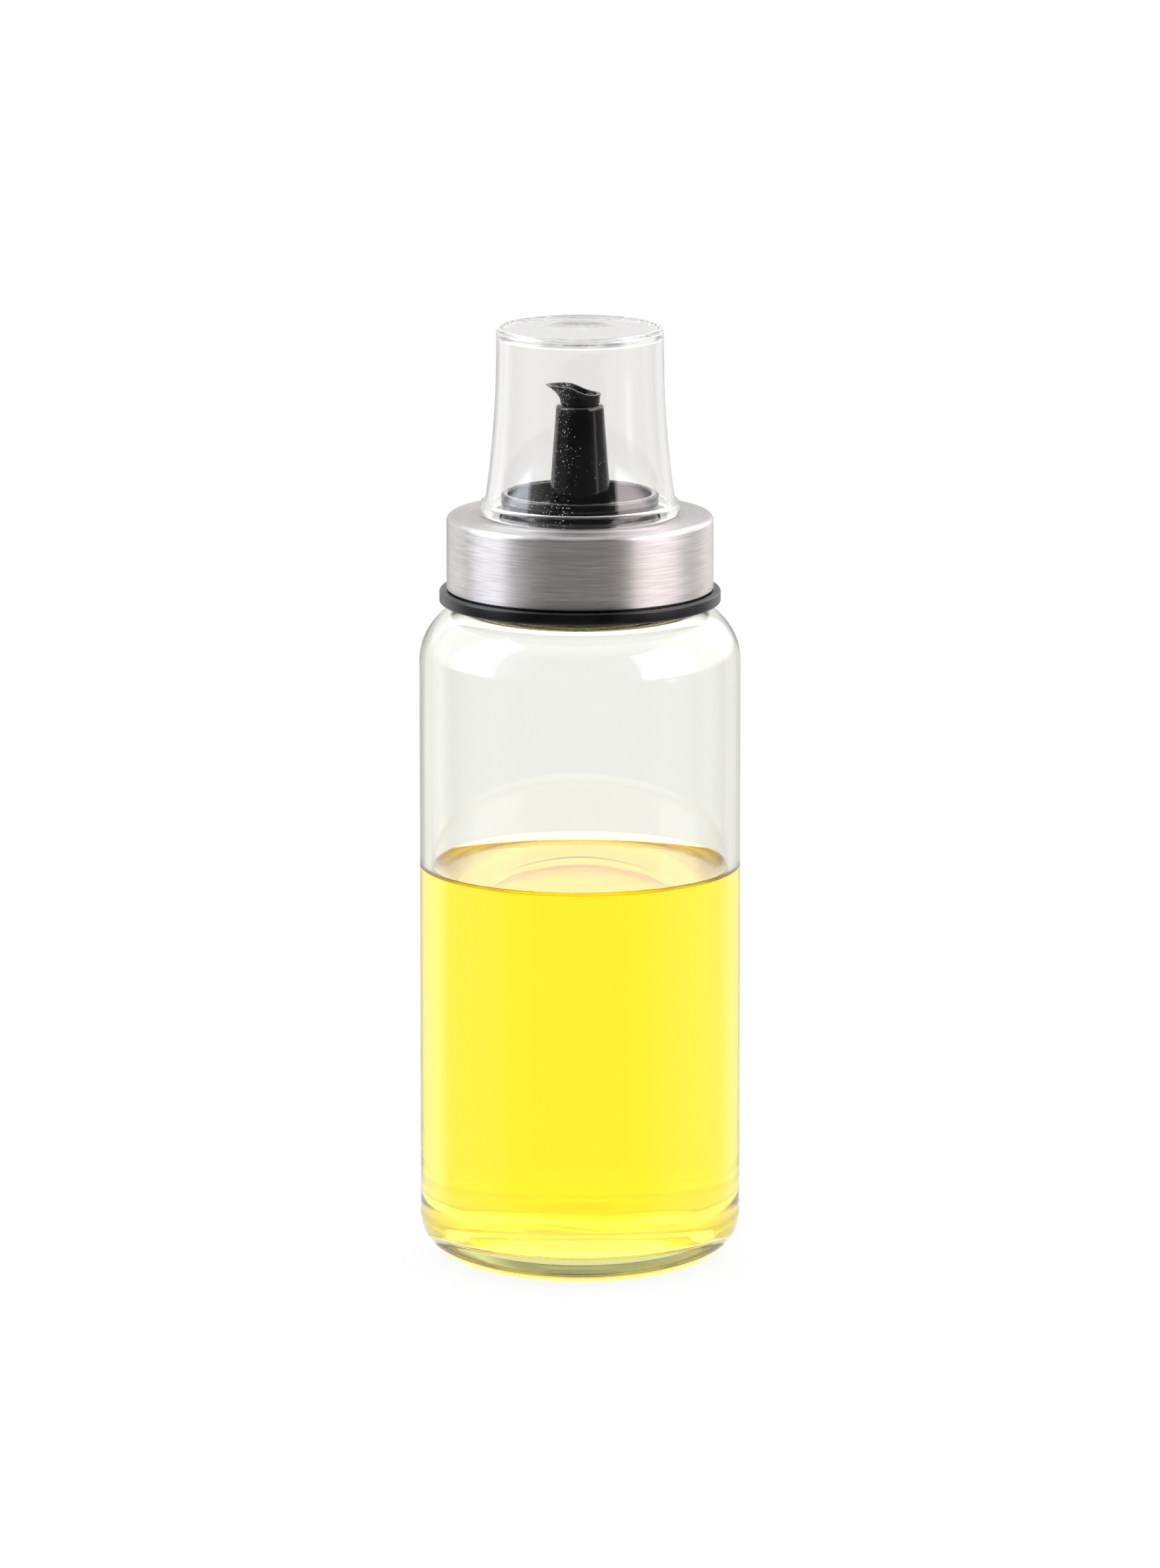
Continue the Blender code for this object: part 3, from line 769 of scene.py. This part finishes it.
def build_nozzle(material):
    low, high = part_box("pour_nozzle")
    reach = -low.x
    neck_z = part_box("pourer_insert")[1].z + BEAK_GAP
    rises = [row / BEAK_ROWS for row in range(BEAK_ROWS + 1)]
    rings = [level_ring(CORE_R, low.z), level_ring(CORE_R, neck_z)]
    rings += [beak_ring(rise, 0.0, neck_z, BEAK_NECK_R, reach, high.z) for rise in rises]
    inner_r = BEAK_NECK_R - BEAK_WALL
    rings += [
        beak_ring(rise, BEAK_WALL, BEAK_FLOOR_Z, inner_r, reach, high.z)
        for rise in reversed(rises)]
    nozzle = loft("pour_beak", rings, material)

    vent_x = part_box("air_vent_tube")[0].x + VENT_BORE_R - BEAK_GAP
    bottom = low.z - BORE_OVERRUN
    top = BEAK_FLOOR_Z + BORE_OVERRUN
    for x, radius in ((POUR_BORE_X, POUR_BORE_R), (vent_x, VENT_BORE_R)):
        outline = [(0.0, bottom), (radius, bottom), (radius, top), (0.0, top)]
        cut_away(nozzle, turned("bore", outline, material, TUBE_SEGMENTS, x))
    place(nozzle, "pour_nozzle", "head")


def build_vent(material):
    low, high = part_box("air_vent_tube")
    radius = (high.x - low.x) / 2
    edge = VENT_EDGE
    outline = [(VENT_HOLE_R, high.z), (VENT_HOLE_R, low.z), (radius - edge, low.z)]
    outline += [(radius, low.z + edge), (radius, high.z - edge), (radius - edge, high.z)]
    vent = turned("vent_tube", outline, material, TUBE_SEGMENTS, (low.x + high.x) / 2)
    place(vent, "air_vent_tube", "head")


def build_cap(material):
    low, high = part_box("dust_cap")
    foot_z = low.z + CAP_FLANGE_THICKNESS
    roof_z = high.z - CAP_ROOF
    top_corner = (CAP_TOP_R - CAP_EDGE_R, high.z - CAP_EDGE_R)
    roof_corner = (CAP_TOP_R - CAP_WALL - ROOF_CORNER_R, roof_z - ROOF_CORNER_R)
    edge = CAP_FOOT_EDGE_R

    def side_r(z):
        flare = (top_corner[1] - z) / (top_corner[1] - foot_z)
        return CAP_TOP_R + CAP_FLARE * max(0.0, flare) ** CAP_FLARE_POWER

    outline = [(0.0, high.z)]
    for row in range(2 * GATE_RING_ROWS + 1):
        away = GATE_RING_WIDTH * (row / GATE_RING_ROWS - 1)
        sink = GATE_RING_DEPTH * smooth_step(abs(away), GATE_RING_WIDTH, 0.0)
        outline.append((GATE_RING_R + away, high.z - sink))
    outline += [(CAP_TOP_R / 2, high.z)]
    outline += outline_arc(top_corner, CAP_EDGE_R, CAP_EDGE_R, 90, 0, 12)
    for row in range(1, CAP_SIDE_ROWS + 1):
        z = top_corner[1] + (foot_z - top_corner[1]) * row / CAP_SIDE_ROWS
        outline.append((side_r(z), z))
    outline += outline_arc((high.x - edge, foot_z - edge), edge, edge, 90, 0, 4)
    outline += outline_arc((high.x - edge, low.z + edge), edge, edge, 0, -90, 4)
    outline += [(side_r(foot_z) - CAP_WALL, low.z)]
    for row in range(CAP_SIDE_ROWS):
        z = foot_z + (roof_corner[1] - foot_z) * row / CAP_SIDE_ROWS
        outline.append((side_r(z) - CAP_WALL, z))
    outline += outline_arc(roof_corner, ROOF_CORNER_R, ROOF_CORNER_R, 0, 90, 12)
    outline += [(CAP_TOP_R / 2, roof_z), (0.0, roof_z)]
    cap = turned("cap", outline, material)
    place(cap, "dust_cap", "cap")


def build_floor():
    """A plain pale floor, which mirrors only what stands near it."""
    material, tree, shader, coords = new_material("floor_white", (0.8, 0.8, 0.8), 0.9)
    grain = noise_value(tree, coords, scale=400.0)
    shade = mix_colors(tree, grain, opaque((0.79, 0.79, 0.79)), opaque((0.81, 0.81, 0.81)))
    tree.links.new(shade, shader.inputs["Base Color"])
    shader.inputs["Specular IOR Level"].default_value = 0.0
    rays, passed, reflected, level = light_path(tree)
    level = between(tree, reflected, level, TABLE_LEVEL)
    glow = add_node(tree, "ShaderNodeEmission", {"Strength": level}).outputs[0]
    straight = compute(tree, "MULTIPLY", rays["Is Camera Ray"], FLOOR_GLOW)
    share = compute(tree, "MAXIMUM", straight, compute(tree, "MAXIMUM", passed, reflected))
    lit = add_node(tree, "ShaderNodeMixShader", {0: share, 1: shader.outputs[0], 2: glow}).outputs[0]
    away = add_node(tree, "ShaderNodeVectorMath", {0: coords}, operation="LENGTH").outputs["Value"]
    far = compute(tree, "MULTIPLY", ramp(tree, away, TABLE_NEAR, TABLE_FAR), reflected)
    clear = add_node(tree, "ShaderNodeBsdfTransparent").outputs[0]
    seen = add_node(tree, "ShaderNodeMixShader", {0: far, 1: lit, 2: clear}).outputs[0]
    tree.links.new(seen, tree.nodes["Material Output"].inputs["Surface"])
    material.cycles.emission_sampling = "NONE"
    half = FLOOR_SIZE / 2
    mesh = bpy.data.meshes.new("floor")
    corners = [(-half, -half, 0.0), (half, -half, 0.0), (half, half, 0.0), (-half, half, 0.0)]
    mesh.from_pydata(corners, [], [(0, 1, 2, 3)])
    mesh.materials.append(material)
    floor = bpy.data.objects.new("floor", mesh)
    bpy.context.scene.collection.objects.link(floor)


def room_level(tree, axes, azimuth, crossings):
    """The level that reflections see in a direction of the room, without its softboxes."""
    height = axes["Z"]
    low = level_round(tree, azimuth, LOW_STOPS)
    low = between(tree, ramp(tree, height, *STEEP_HEIGHTS), low, TABLE_LEVEL)
    above = ramp(tree, height, -HORIZON_SOFT, HORIZON_SOFT)
    room = between(tree, above, low, level_round(tree, azimuth, ROOM_STOPS))
    back = compute(
        tree, "MULTIPLY", ramp(tree, axes["Y"], *BACK_PLACES), ramp(tree, height, *BACK_HEIGHTS))
    in_oil = compute(tree, "GREATER_THAN", crossings, DEEP_CROSSINGS - 1)
    return compute(tree, "MULTIPLY_ADD", compute(tree, "MULTIPLY", in_oil, back), SURFACE_GAIN, room)


def build_world():
    """Plain white for the view, the floor and what shows through glass, and a room with softboxes
    for reflections."""
    world = bpy.data.worlds.new("studio")
    bpy.context.scene.world = world
    world.use_nodes = True
    world.cycles.sampling_method = "NONE"
    tree = world.node_tree
    tree.nodes.clear()
    direction = add_node(tree, "ShaderNodeTexCoord").outputs["Generated"]
    axes = add_node(tree, "ShaderNodeSeparateXYZ", {"Vector": direction}).outputs
    toward_front = compute(tree, "MULTIPLY", axes["Y"], -1.0)
    azimuth = compute(tree, "DEGREES", compute(tree, "ARCTAN2", axes["X"], toward_front))
    height = axes["Z"]
    rays, passed, reflected, level = light_path(tree)

    studio = gray(tree, room_level(tree, axes, azimuth, rays["Transmission Depth"]))
    overhead = ramp(tree, height, *TOP_BOX_HEIGHTS)
    studio = mix_colors(tree, overhead, studio, opaque(TOP_BOX_TINT, TOP_BOX_LEVEL))
    for azimuths, heights, strength, tint in SOFTBOXES:
        across = window(tree, azimuth, *azimuths)
        share = compute(tree, "MULTIPLY", across, window(tree, height, *heights))
        studio = mix_colors(tree, share, studio, opaque(tint, strength))

    plain = gray(tree, compute(tree, "MULTIPLY_ADD", passed, SKY_GAIN, level))
    color = mix_colors(tree, reflected, plain, studio)
    background = add_node(tree, "ShaderNodeBackground", {"Color": color, "Strength": 1.0})
    output = add_node(tree, "ShaderNodeOutputWorld")
    tree.links.new(background.outputs["Background"], output.inputs["Surface"])


def build_camera():
    data = bpy.data.cameras.new("camera")
    data.lens = CAMERA_LENS
    data.sensor_width = CAMERA_SENSOR
    camera = bpy.data.objects.new("camera", data)
    camera.location = (0.0, -CAMERA_DISTANCE, CAMERA_HEIGHT)
    camera.rotation_euler = (math.pi / 2 - CAMERA_PITCH, 0.0, 0.0)
    bpy.context.scene.collection.objects.link(camera)
    bpy.context.scene.camera = camera


def set_up_scene():
    """Show colours as they are, and let rays cross the glass and the oil many times."""
    scene = bpy.context.scene
    scene.view_settings.view_transform = "Standard"
    scene.cycles.max_bounces = BOUNCES
    scene.cycles.glossy_bounces = BOUNCES
    scene.cycles.transmission_bounces = BOUNCES


def build_pieces():
    build_glass_bottle(glass_material())
    build_oil(oil_material())
    build_gasket(gasket_material())
    build_closure(black_material("black_closure", (0.001, 0.001, 0.0013), 0.3))
    build_collar(steel_material())
    build_insert(black_material("black_spout", (0.001, 0.001, 0.0016), 0.09, dust=1.0, ior=1.7))
    build_nozzle(black_material("black_beak", (0.003, 0.003, 0.0035), 0.3, dust=2.0))
    build_vent(black_material("vent_black", (0.02, 0.02, 0.02), 0.4))
    build_cap(clear_plastic_material())


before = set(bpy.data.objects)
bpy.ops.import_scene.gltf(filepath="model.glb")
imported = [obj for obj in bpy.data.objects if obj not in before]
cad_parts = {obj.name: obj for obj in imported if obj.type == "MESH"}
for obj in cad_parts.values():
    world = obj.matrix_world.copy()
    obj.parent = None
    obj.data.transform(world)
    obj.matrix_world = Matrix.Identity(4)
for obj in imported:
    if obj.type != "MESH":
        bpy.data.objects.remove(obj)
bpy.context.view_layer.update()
set_up_scene()
build_camera()
build_world()
build_floor()
build_pieces()
